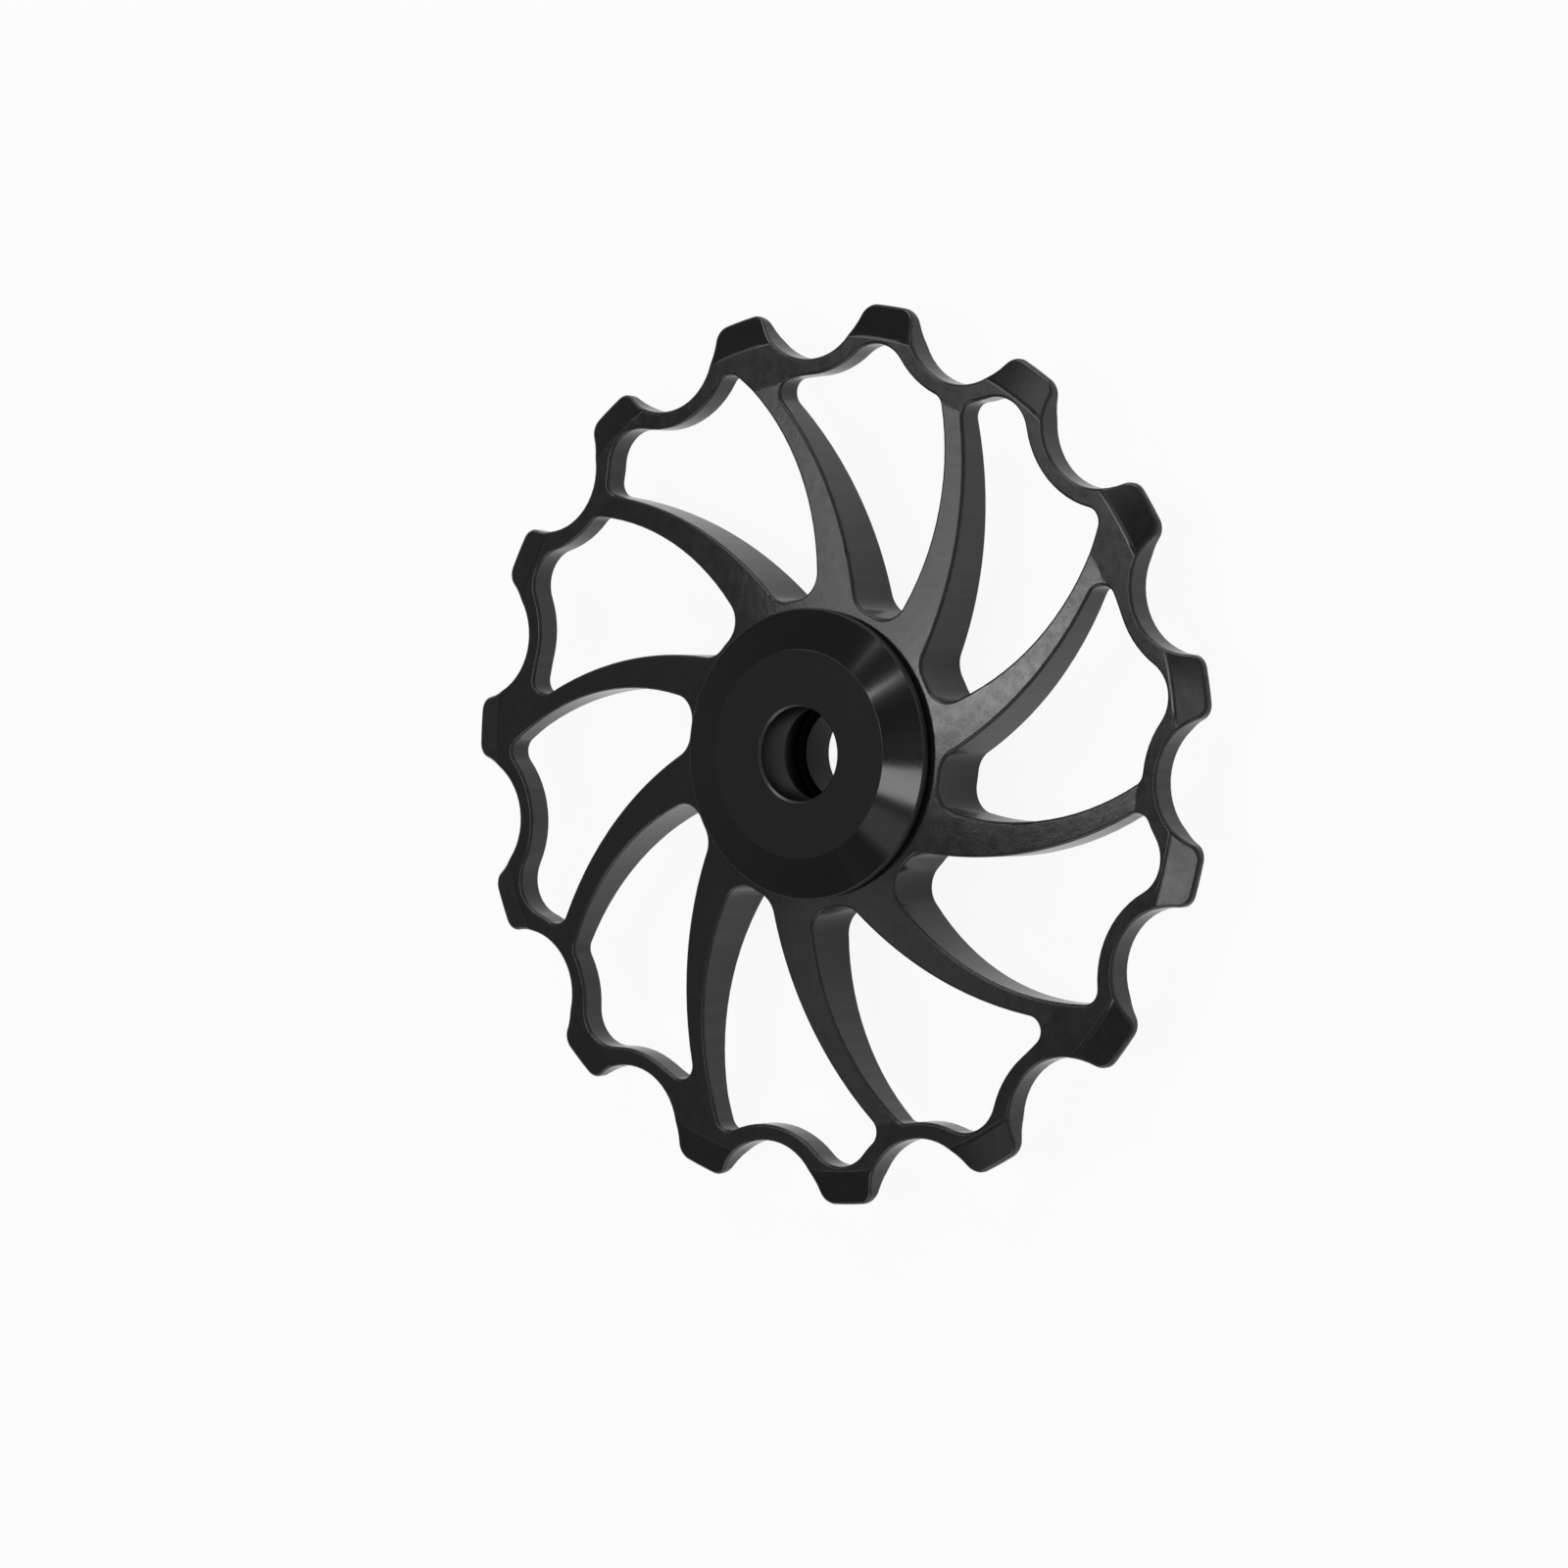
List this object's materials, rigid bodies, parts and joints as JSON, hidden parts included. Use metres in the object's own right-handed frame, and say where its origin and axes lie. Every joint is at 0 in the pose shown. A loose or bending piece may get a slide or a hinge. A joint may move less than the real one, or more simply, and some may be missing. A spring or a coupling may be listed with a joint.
{
  "type": "derailleur jockey wheel",
  "caption": "Toothed alloy guide wheel for a bicycle derailleur, with swept spokes, turning on a sealed ball bearing between coned clamp caps around a plain axle bore.",
  "frame": {"origin": "centre of the axle bore at the wheel's mid thickness", "axes": "+Z along the axle towards the front cap, +X through the middle of a tooth"},
  "size_m": [0.0602, 0.0606, 0.008],
  "materials": {
    "wheel_alloy": "black anodised over a bead blasted surface",
    "cap_alloy": "turned and anodised gloss black",
    "bearing_steel": "ground bearing steel",
    "cage_nylon": "natural moulded nylon",
    "seal_rubber": "moulded black rubber",
    "ball_ceramic": "polished dark grey ceramic"
  },
  "bodies": {
    "axle_core": {"front_cap": "cap_alloy", "rear_cap": "cap_alloy", "bearing_inner_ring": "bearing_steel"},
    "wheel": {"toothed_wheel": "wheel_alloy", "bearing_outer_ring": "bearing_steel", "front_seal": "seal_rubber", "rear_seal": "seal_rubber"},
    "ball_cage": {"bearing_cage": "cage_nylon"},
    "ball_1_body": {"ball_1": "ball_ceramic"},
    "ball_2_body": {"ball_2": "ball_ceramic"},
    "ball_3_body": {"ball_3": "ball_ceramic"},
    "ball_4_body": {"ball_4": "ball_ceramic"},
    "ball_5_body": {"ball_5": "ball_ceramic"},
    "ball_6_body": {"ball_6": "ball_ceramic"},
    "ball_7_body": {"ball_7": "ball_ceramic"},
    "ball_8_body": {"ball_8": "ball_ceramic"},
    "ball_9_body": {"ball_9": "ball_ceramic"}
  },
  "joints": [
    {"name": "wheel_spin", "type": "hinge", "parent": "axle_core", "child": "wheel", "pos_m": [0, 0, 0], "axis": [0, 0, 1], "continuous": true},
    {"name": "cage_orbit", "type": "hinge", "parent": "axle_core", "child": "ball_cage", "pos_m": [0, 0, 0], "axis": [0, 0, 1], "continuous": true},
    {"name": "ball_1_roll", "type": "hinge", "parent": "ball_cage", "child": "ball_1_body", "pos_m": [0.006, 0, 0], "axis": [0, 0, 1], "continuous": true},
    {"name": "ball_2_roll", "type": "hinge", "parent": "ball_cage", "child": "ball_2_body", "pos_m": [0.0046, 0.00386, 0], "axis": [0, 0, 1], "continuous": true},
    {"name": "ball_3_roll", "type": "hinge", "parent": "ball_cage", "child": "ball_3_body", "pos_m": [0.00104, 0.00591, 0], "axis": [0, 0, 1], "continuous": true},
    {"name": "ball_4_roll", "type": "hinge", "parent": "ball_cage", "child": "ball_4_body", "pos_m": [-0.003, 0.0052, 0], "axis": [0, 0, 1], "continuous": true},
    {"name": "ball_5_roll", "type": "hinge", "parent": "ball_cage", "child": "ball_5_body", "pos_m": [-0.00564, 0.00205, 0], "axis": [0, 0, 1], "continuous": true},
    {"name": "ball_6_roll", "type": "hinge", "parent": "ball_cage", "child": "ball_6_body", "pos_m": [-0.00564, -0.00205, 0], "axis": [0, 0, 1], "continuous": true},
    {"name": "ball_7_roll", "type": "hinge", "parent": "ball_cage", "child": "ball_7_body", "pos_m": [-0.003, -0.0052, 0], "axis": [0, 0, 1], "continuous": true},
    {"name": "ball_8_roll", "type": "hinge", "parent": "ball_cage", "child": "ball_8_body", "pos_m": [0.00104, -0.00591, 0], "axis": [0, 0, 1], "continuous": true},
    {"name": "ball_9_roll", "type": "hinge", "parent": "ball_cage", "child": "ball_9_body", "pos_m": [0.0046, -0.00386, 0], "axis": [0, 0, 1], "continuous": true}
  ],
  "couplings": [
    {"joint": "cage_orbit", "follows": "wheel_spin", "ratio": 0.59921},
    {"joint": "ball_1_roll", "follows": "wheel_spin", "ratio": 2.4207},
    {"joint": "ball_2_roll", "follows": "wheel_spin", "ratio": 2.4207},
    {"joint": "ball_3_roll", "follows": "wheel_spin", "ratio": 2.4207},
    {"joint": "ball_4_roll", "follows": "wheel_spin", "ratio": 2.4207},
    {"joint": "ball_5_roll", "follows": "wheel_spin", "ratio": 2.4207},
    {"joint": "ball_6_roll", "follows": "wheel_spin", "ratio": 2.4207},
    {"joint": "ball_7_roll", "follows": "wheel_spin", "ratio": 2.4207},
    {"joint": "ball_8_roll", "follows": "wheel_spin", "ratio": 2.4207},
    {"joint": "ball_9_roll", "follows": "wheel_spin", "ratio": 2.4207}
  ]
}
